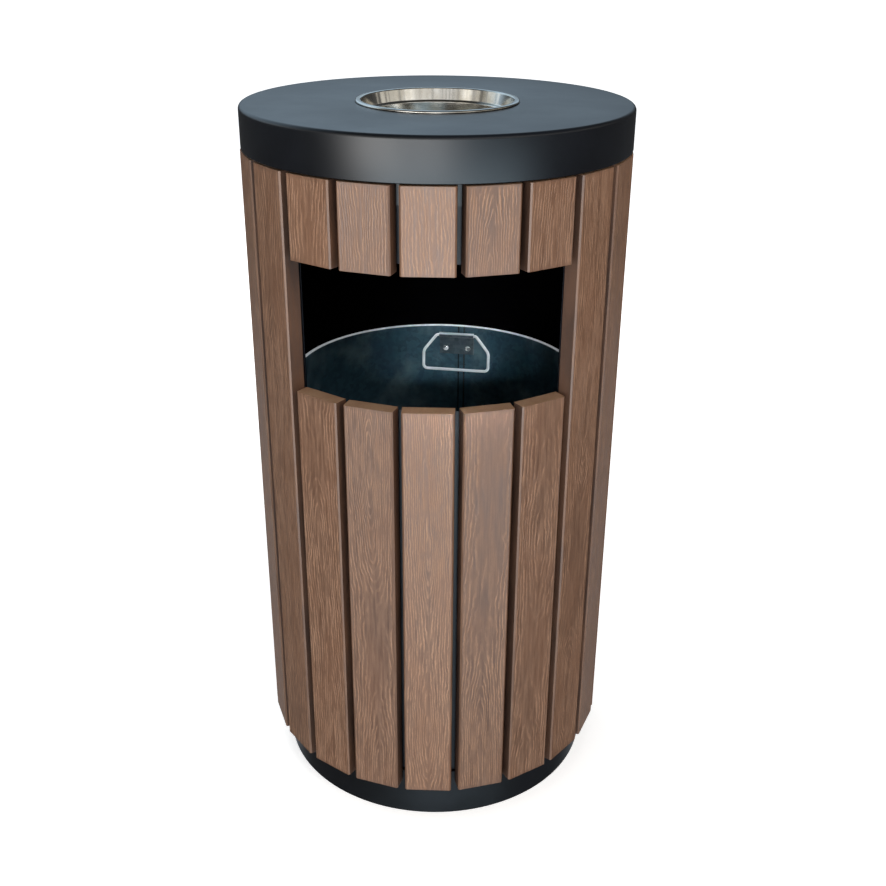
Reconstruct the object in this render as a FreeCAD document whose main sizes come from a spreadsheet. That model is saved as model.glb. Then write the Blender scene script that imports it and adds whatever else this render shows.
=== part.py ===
import FreeCAD, Part
import math
import os
import Sketcher

# A round street litter bin: a rolled steel shell clad with vertical planks, a front
# window between short planks, a lift-off lid cap that holds an ashtray bowl, and a
# galvanised liner with two wire handles.
#
# Frame: millimetres, +Z up, origin at the centre of the underside, and the window
# faces -Y. Plank 0 stands at the middle of the front, and planks count
# anticlockwise from there, seen from above.

SIZES = (
    # lid cap
    ("lid_radius", 201.0, "outside of the lid's skirt"),
    ("lid_top", 771.0, "height of the lid's flat top"),
    ("lid_skirt", 42.0, "depth of the skirt"),
    ("lid_sheet", 1.2, "lid sheet thickness"),
    ("lid_round", 4.0, "outer radius of the pressed edge"),
    ("lid_hem", 8.0, "height of the turned-in hem"),
    ("spigot_depth", 28.0, "depth of the locating ring under the lid"),
    ("spigot_play", 1.5, "radial play of the locating ring in the shell"),
    ("rest_gap", 0.2, "gap left where one loose piece rests on another"),
    # ashtray bowl
    ("bowl_rim", 84.0, "outside of the bowl's folded rim"),
    ("bowl_proud", 2.2, "height of the rim above the lid"),
    ("bowl_radius", 79.0, "outside of the bowl's upper wall"),
    ("bowl_play", 1.0, "radial play of the bowl in the lid's hole"),
    ("bowl_sheet", 1.0, "bowl sheet thickness"),
    ("rim_round", 1.6, "outer radius of the bowl's folded rim"),
    ("press_round", 1.5, "radius of the bowl's pressed corners"),
    ("shoulder_depth", 13.0, "depth of the bowl's shoulder below its rim"),
    ("shoulder_lean", 3.0, "how far the upper wall leans in at the shoulder"),
    ("well_radius", 71.0, "inside of the well at the shoulder"),
    ("well_taper", 1.0, "how far the well's wall leans in"),
    ("well_depth", 34.0, "depth of the straight wall's foot below the rim"),
    ("floor_depth", 39.0, "depth of the bowl's floor below its rim"),
    ("floor_radius", 62.0, "flat part of the bowl's floor"),
    # planks
    ("slat_count", 21, "planks round the bin"),
    ("window_slats", 5, "planks cut short by the window"),
    ("slat_face", 200.2, "distance of a plank's face from the axis"),
    ("slat_width", 51.5, "plank width"),
    ("slat_thick", 15.7, "plank thickness"),
    ("slat_bevel", 1.5, "bevel along a plank's long front edges"),
    ("slat_foot", 47.0, "height of the planks' lower ends"),
    ("slat_head", 727.0, "height of the planks' upper ends"),
    ("opening_sill", 510.0, "top of the short lower planks"),
    ("opening_lintel", 645.0, "bottom of the short upper planks"),
    # shell and bands
    ("shell_radius", 180.5, "outside of the shell"),
    ("shell_sheet", 1.5, "shell sheet thickness"),
    ("window_margin", 6.0, "shell window beyond the planks' opening, each way"),
    ("window_angle", 90.4, "angle that the shell window spans"),
    ("band_overlap", 12.0, "how far the base band reaches up behind the planks"),
    ("upper_band_foot", 706.0, "height of the upper band's lower edge"),
    ("upper_band_head", 750.0, "height of the upper band's top edge"),
    # fixings
    ("screw_radius", 2.3, "plank screw shank"),
    ("screw_head", 4.5, "plank screw head radius"),
    ("screw_head_rise", 2.6, "plank screw head height"),
    ("screw_hole", 2.75, "clearance hole for a plank screw"),
    ("screw_bite", 9.0, "length of a screw in its plank"),
    ("pilot_radius", 2.4, "pilot hole in a plank"),
    ("pilot_depth", 10.0, "depth of a pilot hole"),
    ("spacer_radius", 8.0, "washer between shell and plank"),
    ("row_base", 53.0, "height of the lowest screws"),
    ("row_middle", 300.0, "height of the screws half way up the full planks"),
    ("row_sill", 490.0, "height of the screws under the window"),
    ("row_lintel", 666.0, "height of the screws above the window"),
    ("row_top", 717.0, "height of the uppermost screws"),
    # base
    ("base_thick", 3.0, "base plate thickness"),
    ("shell_play", 0.2, "gap between the shell's inside and what is fixed to it"),
    ("anchor_circle", 130.0, "radius of the circle of anchor holes"),
    ("anchor_hole", 6.25, "radius of an anchor hole"),
    ("anchor_count", 4, "anchor holes"),
    ("drain_radius", 12.0, "radius of the drain hole"),
    ("guide_count", 4, "liner guides"),
    ("guide_width", 30.0, "width of a liner guide"),
    ("guide_height", 25.0, "height of a liner guide"),
    ("guide_foot", 17.0, "length of a liner guide's foot"),
    ("guide_sheet", 2.0, "liner guide thickness"),
    ("guide_play", 2.5, "gap between guide and liner"),
    # liner
    ("liner_radius", 158.5, "outside of the liner's wall"),
    ("liner_sheet", 1.0, "liner sheet thickness"),
    ("seam_gap", 0.05, "gap left between the liner's joined sheets"),
    ("liner_rest", 3.3, "height of the liner's lower edge"),
    ("liner_head", 474.5, "height of the liner wall's top edge"),
    ("liner_floor_lift", 6.0, "liner floor above the lower edge"),
    ("floor_flange", 5.0, "depth of the liner floor's flange"),
    ("bead_radius", 2.2, "radius of the wired rim bead"),
    ("bead_height", 473.5, "height of the rim bead's centre"),
    ("liner_turn", -7.2, "turn of the liner, with its handles, from square"),
    ("seam_angle", 2.6, "angle that the lock seam spans"),
    ("seam_turn", -2.0, "turn of the lock seam from the rear handle"),
    ("seam_thick", 0.8, "thickness of the lock seam"),
    # liner handles
    ("pivot_height", 465.0, "height of a handle's pivot"),
    ("pivot_inset", 4.5, "pivot inwards from the bracket's back"),
    ("wire_radius", 1.75, "handle wire radius"),
    ("curl_play", 0.05, "running clearance of the wire in the curl"),
    ("curl_wall", 1.2, "bracket sheet thickness"),
    ("bracket_width", 43.0, "bracket width"),
    ("bracket_foot", 439.0, "height of the bracket's lower edge"),
    ("bracket_knee", 451.0, "height where the bracket leaves the wall"),
    ("rivet_spread", 28.0, "distance between a bracket's rivets"),
    ("rivet_height", 446.5, "height of the rivets"),
    ("rivet_radius", 1.6, "rivet shank radius"),
    ("rivet_hole", 1.75, "rivet hole radius"),
    ("rivet_head", 3.4, "rivet head radius"),
    ("handle_top", 49.0, "width of a handle at its pivot"),
    ("handle_bottom", 82.0, "width of a handle at its grip"),
    ("handle_knee", 21.0, "pivot to where the sides turn straight"),
    ("handle_drop", 44.5, "pivot to grip"),
    ("handle_tilt", 6.0, "lean of a hanging handle away from the wall"),
    ("handle_bend", 5.0, "bend radius at the handle's ends"),
    ("handle_knee_bend", 11.0, "bend radius at the handle's knees"),
)

FULL_TURN = 360.0
ZERO = 1e-9
SAME = 1e-4                    # mm within which two sizes are the same

doc = FreeCAD.newDocument("litter_bin")
sheet = doc.addObject("Spreadsheet::Sheet", "Sheet")


class Size:
    """A size with its present value and the sheet expression that drives it."""

    def __init__(self, value, text):
        self.value = float(value)
        self.text = text

    def __add__(self, other):
        other = as_size(other)
        return Size(self.value + other.value, f"({self.text} + {other.text})")

    def __sub__(self, other):
        other = as_size(other)
        return Size(self.value - other.value, f"({self.text} - {other.text})")

    def __mul__(self, other):
        other = as_size(other)
        return Size(self.value * other.value, f"({self.text} * {other.text})")

    def __truediv__(self, other):
        other = as_size(other)
        return Size(self.value / other.value, f"({self.text} / {other.text})")

    def __neg__(self):
        return Size(-self.value, f"(-{self.text})")


def as_size(number):
    """A plain number as a Size; a Size stays as it is."""
    if isinstance(number, Size):
        return number
    return Size(number, f"({float(number)})")


def root(size):
    """Square root of a size."""
    return Size(math.sqrt(size.value), f"sqrt({size.text})")


class Sizes:
    """The driving sizes by name, each bound to its cell in the sheet."""

    def __init__(self, rows):
        for row, (alias, value, meaning) in enumerate(rows, start=1):
            sheet.set(f"A{row}", meaning)
            sheet.set(f"B{row}", str(value))
            sheet.setAlias(f"B{row}", alias)
            setattr(self, alias, Size(value, f"Sheet.{alias}"))


S = Sizes(SIZES)
doc.recompute()

# sizes worked out from the driving ones
pitch = as_size(FULL_TURN) / S.slat_count
slat_back = S.slat_face - S.slat_thick
shell_inside = S.shell_radius - S.shell_sheet
lid_underside = S.lid_top - S.lid_sheet
rim_top = S.lid_top + S.bowl_proud
base_band_head = S.slat_foot + S.band_overlap
window_sill = S.opening_sill - S.window_margin
window_lintel = S.opening_lintel + S.window_margin
liner_inside = S.liner_radius - S.liner_sheet
full_slats = S.slat_count - S.window_slats
first_full_slat = (int(S.window_slats.value) + 1) // 2
window_reach = int(S.window_slats.value) // 2


# ---------------------------------------------------------------- drawing helpers

def new_body(label):
    """An empty body for one sub-part; its label names the file."""
    body = doc.addObject("PartDesign::Body", label)
    body.Label = label
    body.AllowCompound = True
    return body


def origin_feature(body, role):
    """One of a body's own origin planes or axes."""
    for feature in body.Origin.OriginFeatures:
        if feature.Role == role:
            return feature
    raise ValueError(role)


def new_sketch(body, name, role, up=0, out=0, turn=0):
    """A sketch on an origin plane.

    It can move up its own Y or out along its normal, and turn about its own Y.
    """
    sketch = body.newObject("Sketcher::SketchObject", name)
    sketch.AttachmentSupport = [(origin_feature(body, role), "")]
    sketch.MapMode = "FlatFace"
    up, out, turn = as_size(up), as_size(out), as_size(turn)
    spin = FreeCAD.Rotation(FreeCAD.Vector(0, 1, 0), turn.value)
    sketch.AttachmentOffset = FreeCAD.Placement(FreeCAD.Vector(0, up.value, out.value), spin)
    sketch.setExpression("AttachmentOffset.Base.y", up.text)
    sketch.setExpression("AttachmentOffset.Base.z", out.text)
    if abs(turn.value) > ZERO:
        sketch.setExpression("AttachmentOffset.Rotation.Angle", turn.text)
    return sketch


def pin(sketch, geometry, point, across, up):
    """Tie one point of a sketch to its distances from the sketch's origin."""
    for kind, axis, size in (("DistanceX", -2, as_size(across)), ("DistanceY", -1, as_size(up))):
        if abs(size.value) < ZERO:
            sketch.addConstraint(Sketcher.Constraint("PointOnObject", geometry, point, axis))
        else:
            rule = Sketcher.Constraint(kind, -1, 1, geometry, point, size.value)
            index = sketch.addConstraint(rule)
            sketch.setExpression(f"Constraints[{index}]", size.text)


def draw_outline(sketch, corners):
    """A closed outline of straight edges through the corners."""
    points = [FreeCAD.Vector(as_size(a).value, as_size(b).value, 0) for a, b in corners]
    count = len(points)
    lines = [Part.LineSegment(points[i], points[(i + 1) % count]) for i in range(count)]
    sketch.addGeometry(lines, False)
    for i in range(count):
        sketch.addConstraint(Sketcher.Constraint("Coincident", i, 2, (i + 1) % count, 1))
    for i, (across, up) in enumerate(corners):
        pin(sketch, i, 1, across, up)


def draw_circle(sketch, across, up, radius):
    """A circle with its centre and radius tied to the sheet."""
    centre = FreeCAD.Vector(as_size(across).value, as_size(up).value, 0)
    circle = Part.Circle(centre, FreeCAD.Vector(0, 0, 1), radius.value)
    index = sketch.addGeometry(circle, False)
    pin(sketch, index, 3, across, up)
    rule = sketch.addConstraint(Sketcher.Constraint("Radius", index, radius.value))
    sketch.setExpression(f"Constraints[{rule}]", radius.text)


def revolve(body, name, sketch, axis="V_Axis", angle=None):
    """Turn a sketch into a solid of revolution, whole or centred on the sketch's plane."""
    turned = body.newObject("PartDesign::Revolution", name)
    turned.Profile = sketch
    turned.ReferenceAxis = (sketch, [axis])
    turned.Angle = FULL_TURN
    if angle is not None:
        turned.Midplane = True
        turned.Angle = angle.value
        turned.setExpression("Angle", angle.text)
    return turned


def pad(body, name, sketch, length, midplane=False):
    """Extrude a sketch along its normal."""
    raised = body.newObject("PartDesign::Pad", name)
    raised.Profile = sketch
    raised.Length = length.value
    raised.setExpression("Length", length.text)
    raised.Midplane = midplane
    return raised


def pocket(body, name, sketch, length, midplane=False):
    """Cut a sketch out along its normal, or both ways from its plane."""
    cut = body.newObject("PartDesign::Pocket", name)
    cut.Profile = sketch
    cut.Length = length.value
    cut.setExpression("Length", length.text)
    cut.Midplane = midplane
    cut.Reversed = not midplane
    return cut


def repeat_round(body, name, feature, count, angle):
    """Repeat a feature round the bin's axis, evenly over the angle."""
    pattern = body.newObject("PartDesign::PolarPattern", name)
    pattern.Originals = [feature]
    pattern.Axis = (origin_feature(body, "Z_Axis"), [""])
    pattern.Angle = angle.value
    pattern.setExpression("Angle", angle.text)
    pattern.Occurrences = int(count.value)
    pattern.setExpression("Occurrences", count.text)
    body.Tip = pattern
    return pattern


def round_rims(body, name, rims, radius):
    """Fillet the circular edges that lie at the given radii and heights."""
    doc.recompute()
    base = body.Tip
    edges = []
    for number, edge in enumerate(base.Shape.Edges, start=1):
        if not isinstance(edge.Curve, Part.Circle):
            continue
        for rim_radius, height in rims:
            same_radius = abs(edge.Curve.Radius - rim_radius.value) < SAME
            same_height = abs(edge.Curve.Center.z - height.value) < SAME
            if same_radius and same_height:
                edges.append(f"Edge{number}")
    if len(edges) != len(rims):
        raise ValueError(f"{body.Label} {name}: {len(edges)} edges for {len(rims)} rims")
    fillet = body.newObject("PartDesign::Fillet", name)
    fillet.Base = (base, edges)
    fillet.Radius = radius.value
    fillet.setExpression("Radius", radius.text)
    return fillet


def ring(label, corners):
    """A piece turned whole about the bin's axis, from corners given as (radius, height)."""
    body = new_body(label)
    sketch = new_sketch(body, f"{label}_profile", "XZ_Plane")
    draw_outline(sketch, corners)
    revolve(body, f"{label}_turned", sketch)
    return body


def tube(label, inside, outside, foot, head):
    """A plain tube about the bin's axis."""
    return ring(label, [(inside, foot), (outside, foot), (outside, head), (inside, head)])


def turn_about_axis(body, angle):
    """Stand a finished body at its own angle round the bin."""
    body.Placement = FreeCAD.Placement(
        FreeCAD.Vector(0, 0, 0), FreeCAD.Rotation(FreeCAD.Vector(0, 0, 1), angle.value)
    )
    body.setExpression("Placement.Rotation.Angle", angle.text)


# ---------------------------------------------------------------- screw positions

class Row:
    """Screws at one height, one behind each plank from the first, counting round."""

    def __init__(self, name, height, first, count):
        self.name = name
        self.height = height
        self.start = pitch * first
        self.count = count
        whole = count.value == S.slat_count.value
        self.span = as_size(FULL_TURN) if whole else pitch * (count - 1)


ROW_BASE = Row("base", S.row_base, 0, S.slat_count)
ROW_MIDDLE = Row("middle", S.row_middle, first_full_slat, full_slats)
ROW_SILL = Row("sill", S.row_sill, -window_reach, S.window_slats)
ROW_LINTEL = Row("lintel", S.row_lintel, -window_reach, S.window_slats)
ROW_TOP = Row("top", S.row_top, 0, S.slat_count)


def drill_rows(body, rows, radius):
    """Radial screw holes through a tube's wall."""
    for row in rows:
        sketch = new_sketch(body, f"{body.Label}_{row.name}_hole", "XZ_Plane", row.height, 0, row.start)
        draw_circle(sketch, 0, 0, radius)
        cut = pocket(body, f"{body.Label}_{row.name}_drilled", sketch, S.lid_radius)
        repeat_round(body, f"{body.Label}_{row.name}_holes", cut, row.count, row.span)


# ---------------------------------------------------------------- shell and bands

def make_shell():
    """Rolled sheet shell with the front window and the screw holes."""
    shell_head = lid_underside - S.rest_gap
    shell = ring("shell", [
        (shell_inside, 0),
        (S.shell_radius, 0),
        (S.shell_radius, shell_head),
        (shell_inside, shell_head),
    ])
    sketch = new_sketch(shell, "window_profile", "YZ_Plane")
    near = -(S.shell_radius + S.shell_sheet)
    far = -(shell_inside - S.shell_sheet)
    draw_outline(sketch, [
        (near, window_sill),
        (far, window_sill),
        (far, window_lintel),
        (near, window_lintel),
    ])
    window = shell.newObject("PartDesign::Groove", "window")
    window.Profile = sketch
    window.ReferenceAxis = (sketch, ["V_Axis"])
    window.Midplane = True
    window.Angle = S.window_angle.value
    window.setExpression("Angle", S.window_angle.text)
    drill_rows(shell, [ROW_BASE, ROW_MIDDLE, ROW_SILL, ROW_LINTEL, ROW_TOP], S.screw_hole)
    return shell


def make_bands():
    """Flat bands round the shell that carry the planks' lower and upper ends."""
    base_band = tube("base_band", S.shell_radius, slat_back, as_size(0), base_band_head)
    drill_rows(base_band, [ROW_BASE], S.screw_hole)
    upper_band = tube("upper_band", S.shell_radius, slat_back, S.upper_band_foot, S.upper_band_head)
    drill_rows(upper_band, [ROW_TOP], S.screw_hole)
    return [base_band, upper_band]


def make_base_plate():
    """Floor of the shell with a drain hole and the anchor holes."""
    rim = shell_inside - S.shell_play
    plate = ring("base_plate", [
        (S.drain_radius, 0),
        (rim, 0),
        (rim, S.base_thick),
        (S.drain_radius, S.base_thick),
    ])
    sketch = new_sketch(plate, "anchor_hole_circle", "XY_Plane", 0, 0)
    reach = root(S.anchor_circle * S.anchor_circle / 2)
    draw_circle(sketch, reach, reach, S.anchor_hole)
    cut = pocket(plate, "anchor_hole_cut", sketch, S.base_thick)
    repeat_round(plate, "anchor_holes", cut, S.anchor_count, as_size(FULL_TURN))
    return plate


def make_liner_guides():
    """Angle brackets on the base plate that keep the liner central."""
    guides = new_body("liner_guides")
    face = S.liner_radius + S.guide_play
    seat = S.base_thick
    sketch = new_sketch(guides, "guide_profile", "YZ_Plane")
    draw_outline(sketch, [
        (-face, seat),
        (-face, seat + S.guide_height),
        (-(face + S.guide_sheet), seat + S.guide_height),
        (-(face + S.guide_sheet), seat + S.guide_sheet),
        (-(face + S.guide_foot), seat + S.guide_sheet),
        (-(face + S.guide_foot), seat),
    ])
    angle = pad(guides, "guide", sketch, S.guide_width, midplane=True)
    repeat_round(guides, "guides", angle, S.guide_count, as_size(FULL_TURN))
    return guides


# ---------------------------------------------------------------- planks and their fixings

def make_slat(label, index, foot, head, screw_heights):
    """One plank with bevelled front edges and pilot holes in its back."""
    slat = new_body(label)
    half = S.slat_width / 2
    section = new_sketch(slat, f"{label}_section", "XY_Plane", 0, foot)
    draw_outline(section, [
        (-half, -slat_back),
        (-half, -(S.slat_face - S.slat_bevel)),
        (-(half - S.slat_bevel), -S.slat_face),
        (half - S.slat_bevel, -S.slat_face),
        (half, -(S.slat_face - S.slat_bevel)),
        (half, -slat_back),
    ])
    pad(slat, f"{label}_length", section, head - foot)
    holes = new_sketch(slat, f"{label}_pilots", "XZ_Plane", 0, slat_back)
    for height in screw_heights:
        draw_circle(holes, 0, height, S.pilot_radius)
    pocket(slat, f"{label}_drilled", holes, S.pilot_depth)
    turn_about_axis(slat, pitch * index)
    return slat


def make_slats():
    """All the planks: full ones, and two short ones where the window is."""
    slats = []
    for index in range(-window_reach, window_reach + 1):
        number = index + window_reach + 1
        lower_rows = [S.row_base, S.row_sill]
        upper_rows = [S.row_lintel, S.row_top]
        slats += [
            make_slat(f"slat_lower_{number}", index, S.slat_foot, S.opening_sill, lower_rows),
            make_slat(f"slat_upper_{number}", index, S.opening_lintel, S.slat_head, upper_rows),
        ]
    for number in range(1, int(full_slats.value) + 1):
        index = first_full_slat + number - 1
        heights = [S.row_base, S.row_middle, S.row_top]
        slats.append(make_slat(f"slat_full_{number:02d}", index, S.slat_foot, S.slat_head, heights))
    return slats


def make_screws(label, rows):
    """Pan-head screws driven outwards through the shell into the planks."""
    screws = new_body(label)
    seat = shell_inside - S.shell_play
    tip = slat_back + S.screw_bite
    for row in rows:
        sketch = new_sketch(screws, f"{label}_{row.name}_profile", "YZ_Plane", row.height, 0, row.start)
        draw_outline(sketch, [
            (-(seat - S.screw_head_rise), 0),
            (-(seat - S.screw_head_rise), S.screw_head / 2),
            (-(seat - S.screw_head_rise / 2), S.screw_head),
            (-seat, S.screw_head),
            (-seat, S.screw_radius),
            (-(tip - S.screw_radius), S.screw_radius),
            (-tip, 0),
        ])
        screw = revolve(screws, f"{label}_{row.name}_screw", sketch, "H_Axis")
        repeat_round(screws, f"{label}_{row.name}_row", screw, row.count, row.span)
    return screws


def make_spacers():
    """Washers that hold the planks off the bare shell."""
    spacers = new_body("slat_spacers")
    for row in (ROW_MIDDLE, ROW_SILL, ROW_LINTEL):
        sketch = new_sketch(spacers, f"spacer_{row.name}_profile", "YZ_Plane", row.height, 0, row.start)
        draw_outline(sketch, [
            (-S.shell_radius, S.screw_hole),
            (-S.shell_radius, S.spacer_radius),
            (-slat_back, S.spacer_radius),
            (-slat_back, S.screw_hole),
        ])
        washer = revolve(spacers, f"spacer_{row.name}", sketch, "H_Axis")
        repeat_round(spacers, f"spacer_{row.name}_row", washer, row.count, row.span)
    return spacers


# ---------------------------------------------------------------- lid and ashtray bowl

def make_lid():
    """Pressed lid cap with a hemmed skirt and a round hole for the bowl."""
    hole = S.bowl_radius + S.bowl_play
    inside = S.lid_radius - S.lid_sheet
    hem_inside = inside - S.lid_sheet
    skirt_foot = S.lid_top - S.lid_skirt
    hem_head = skirt_foot + S.lid_hem
    lid = ring("lid_cap", [
        (hole, lid_underside),
        (inside, lid_underside),
        (inside, hem_head),
        (hem_inside, hem_head),
        (hem_inside, skirt_foot),
        (S.lid_radius, skirt_foot),
        (S.lid_radius, S.lid_top),
        (hole, S.lid_top),
    ])
    round_rims(lid, "lid_edge", [(S.lid_radius, S.lid_top)], S.lid_round)
    round_rims(lid, "lid_inner_edge", [(inside, lid_underside)], S.lid_round - S.lid_sheet)
    round_rims(lid, "hem_edge", [(S.lid_radius, skirt_foot), (hem_inside, skirt_foot)], S.lid_sheet / 2)
    return lid


def make_spigot():
    """Ring welded under the lid that drops inside the shell."""
    outside = shell_inside - S.spigot_play
    inside = outside - S.shell_sheet
    foot = lid_underside - S.spigot_depth
    return tube("lid_locating_ring", inside, outside, foot, lid_underside)


def make_bowl():
    """Pressed ashtray bowl: folded rim, shoulder and well."""
    sheet_thick = S.bowl_sheet
    throat = S.bowl_radius - sheet_thick
    wall_foot = throat - S.shoulder_lean
    shoulder = rim_top - S.shoulder_depth
    foot = rim_top - S.well_depth
    floor = rim_top - S.floor_depth
    well_foot = S.well_radius - S.well_taper
    lip = S.lid_top + S.rest_gap
    bowl = ring("ashtray_bowl", [
        (0, floor),
        (S.floor_radius, floor),
        (well_foot, foot),
        (S.well_radius, shoulder),
        (wall_foot, shoulder),
        (throat, rim_top),
        (S.bowl_rim, rim_top),
        (S.bowl_rim, lip),
        (S.bowl_rim - sheet_thick, lip),
        (S.bowl_rim - sheet_thick, rim_top - sheet_thick),
        (S.bowl_radius, rim_top - sheet_thick),
        (wall_foot + sheet_thick, shoulder - sheet_thick),
        (S.well_radius + sheet_thick, shoulder - sheet_thick),
        (well_foot + sheet_thick, foot - sheet_thick / 2),
        (S.floor_radius + sheet_thick / 2, floor - sheet_thick),
        (0, floor - sheet_thick),
    ])
    round_rims(bowl, "folded_round", [(S.bowl_rim, rim_top)], S.rim_round)
    round_rims(bowl, "throat_round", [(throat, rim_top), (wall_foot, shoulder)], S.press_round)
    round_rims(bowl, "shoulder_round", [(S.well_radius, shoulder)], S.press_round)
    return bowl


# ---------------------------------------------------------------- liner

def make_liner_wall():
    """Galvanised sheet wall with holes for the handle rivets."""
    wall = tube("liner_wall", liner_inside, S.liner_radius, S.liner_rest, S.liner_head)
    sketch = new_sketch(wall, "liner_rivet_holes", "XZ_Plane")
    for side in (-1, 1):
        draw_circle(sketch, S.rivet_spread / 2 * side, S.rivet_height, S.rivet_hole)
    pocket(wall, "liner_riveted", sketch, S.lid_radius * 2, midplane=True)
    turn_about_axis(wall, S.liner_turn)
    return wall


def make_liner_floor():
    """Flanged disc set a little above the liner's lower edge."""
    lift = S.liner_rest + S.liner_floor_lift
    rim = liner_inside - S.seam_gap
    return ring("liner_floor", [
        (0, lift),
        (0, lift + S.liner_sheet),
        (rim, lift + S.liner_sheet),
        (rim, lift + S.liner_sheet - S.floor_flange),
        (rim - S.liner_sheet, lift + S.liner_sheet - S.floor_flange),
        (rim - S.liner_sheet, lift),
    ])


def make_rim_bead():
    """Wired bead round the top of the liner."""
    bead = doc.addObject("Part::Torus", "liner_rim_bead")
    bead.Label = "liner_rim_bead"
    bead.setExpression("Radius1", (S.liner_radius + S.bead_radius + S.seam_gap).text)
    bead.setExpression("Radius2", S.bead_radius.text)
    bead.setExpression("Placement.Base.z", S.bead_height.text)
    return bead


def make_lock_seam():
    """Folded seam that closes the liner's wall, standing in on its inner face."""
    seam = new_body("liner_lock_seam")
    outside = liner_inside - S.seam_gap
    foot = S.liner_rest + S.liner_floor_lift + S.liner_sheet + S.rest_gap
    sketch = new_sketch(seam, "seam_profile", "YZ_Plane", 0, 0)
    draw_outline(sketch, [
        (outside - S.seam_thick, foot),
        (outside, foot),
        (outside, S.liner_head),
        (outside - S.seam_thick, S.liner_head),
    ])
    revolve(seam, "seam_strip", sketch, "V_Axis", S.seam_angle)
    turn_about_axis(seam, S.liner_turn + S.seam_turn)
    return seam


# ---------------------------------------------------------------- liner handles
# Each handle set is drawn at the back of the liner, then turned into its place.

bracket_back = root(liner_inside * liner_inside - S.bracket_width * S.bracket_width / 4)
pivot_reach = bracket_back - S.pivot_inset
curl_bore = S.wire_radius + S.curl_play
curl_outside = curl_bore + S.curl_wall
SETS = (("rear", S.liner_turn), ("front", S.liner_turn + FULL_TURN / 2))


def make_bracket(side, turn):
    """Riveted plate whose upper edge is curled round the handle wire."""
    label = f"handle_bracket_{side}"
    bracket = new_body(label)
    curl = new_sketch(bracket, f"{label}_curl", "YZ_Plane")
    draw_circle(curl, pivot_reach, S.pivot_height, curl_outside)
    draw_circle(curl, pivot_reach, S.pivot_height, curl_bore)
    pad(bracket, f"{label}_curled", curl, S.bracket_width, midplane=True)
    plate = new_sketch(bracket, f"{label}_plate", "YZ_Plane")
    inner = bracket_back - S.curl_wall
    curl_back = pivot_reach + curl_outside
    draw_outline(plate, [
        (bracket_back, S.bracket_foot),
        (bracket_back, S.bracket_knee),
        (curl_back, S.pivot_height),
        (curl_back - S.curl_wall + S.curl_play, S.pivot_height),
        (inner, S.bracket_knee),
        (inner, S.bracket_foot),
    ])
    pad(bracket, f"{label}_flat", plate, S.bracket_width, midplane=True)
    holes = new_sketch(bracket, f"{label}_holes", "XZ_Plane")
    for hand in (-1, 1):
        draw_circle(holes, S.rivet_spread / 2 * hand, S.rivet_height, S.rivet_hole)
    pocket(bracket, f"{label}_drilled", holes, S.lid_radius * 2, midplane=True)
    turn_about_axis(bracket, turn)
    return bracket


def make_rivets(side, turn):
    """The pair of rivets that holds a bracket to the liner's wall."""
    label = f"handle_rivets_{side}"
    rivets = new_body(label)
    seat = bracket_back - S.curl_wall
    tail = S.liner_radius - S.bead_radius / 2
    profile = new_sketch(rivets, f"{label}_profile", "YZ_Plane", S.rivet_height, -(S.rivet_spread / 2))
    draw_outline(profile, [
        (seat - S.curl_wall, 0),
        (seat - S.curl_wall, S.rivet_radius),
        (seat - S.curl_wall / 2, S.rivet_head - S.curl_wall / 2),
        (seat, S.rivet_head),
        (seat, S.rivet_radius),
        (tail + S.rivet_radius / 2, S.rivet_radius),
        (tail + S.rivet_radius / 2, 0),
    ])
    rivet = revolve(rivets, f"{label}_rivet", profile, "H_Axis")
    pair = rivets.newObject("PartDesign::LinearPattern", f"{label}_pair")
    pair.Originals = [rivet]
    pair.Direction = (origin_feature(rivets, "X_Axis"), [""])
    pair.Length = S.rivet_spread.value
    pair.setExpression("Length", S.rivet_spread.text)
    pair.Occurrences = 2
    rivets.Tip = pair
    turn_about_axis(rivets, turn)
    return rivets


def rounded_loop(corners, start):
    """A closed wire of straight runs from start, with an arc of its own radius at each corner."""
    edges = []
    here = start
    for index, (corner, bend) in enumerate(corners):
        before = corners[index - 1][0] if index else start
        after = corners[index + 1][0] if index + 1 < len(corners) else start
        arriving = (corner - before).normalize()
        leaving = (after - corner).normalize()
        half_turn = arriving.getAngle(leaving) / 2
        reach = bend * math.tan(half_turn)
        entry = corner - arriving * reach
        leave = corner + leaving * reach
        inwards = (leaving - arriving).normalize()
        middle = corner + inwards * (bend / math.cos(half_turn) - bend)
        edges.append(Part.LineSegment(here, entry).toShape())
        edges.append(Part.Arc(entry, middle, leave).toShape())
        here = leave
    edges.append(Part.LineSegment(here, start).toShape())
    return Part.Wire(edges)


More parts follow.
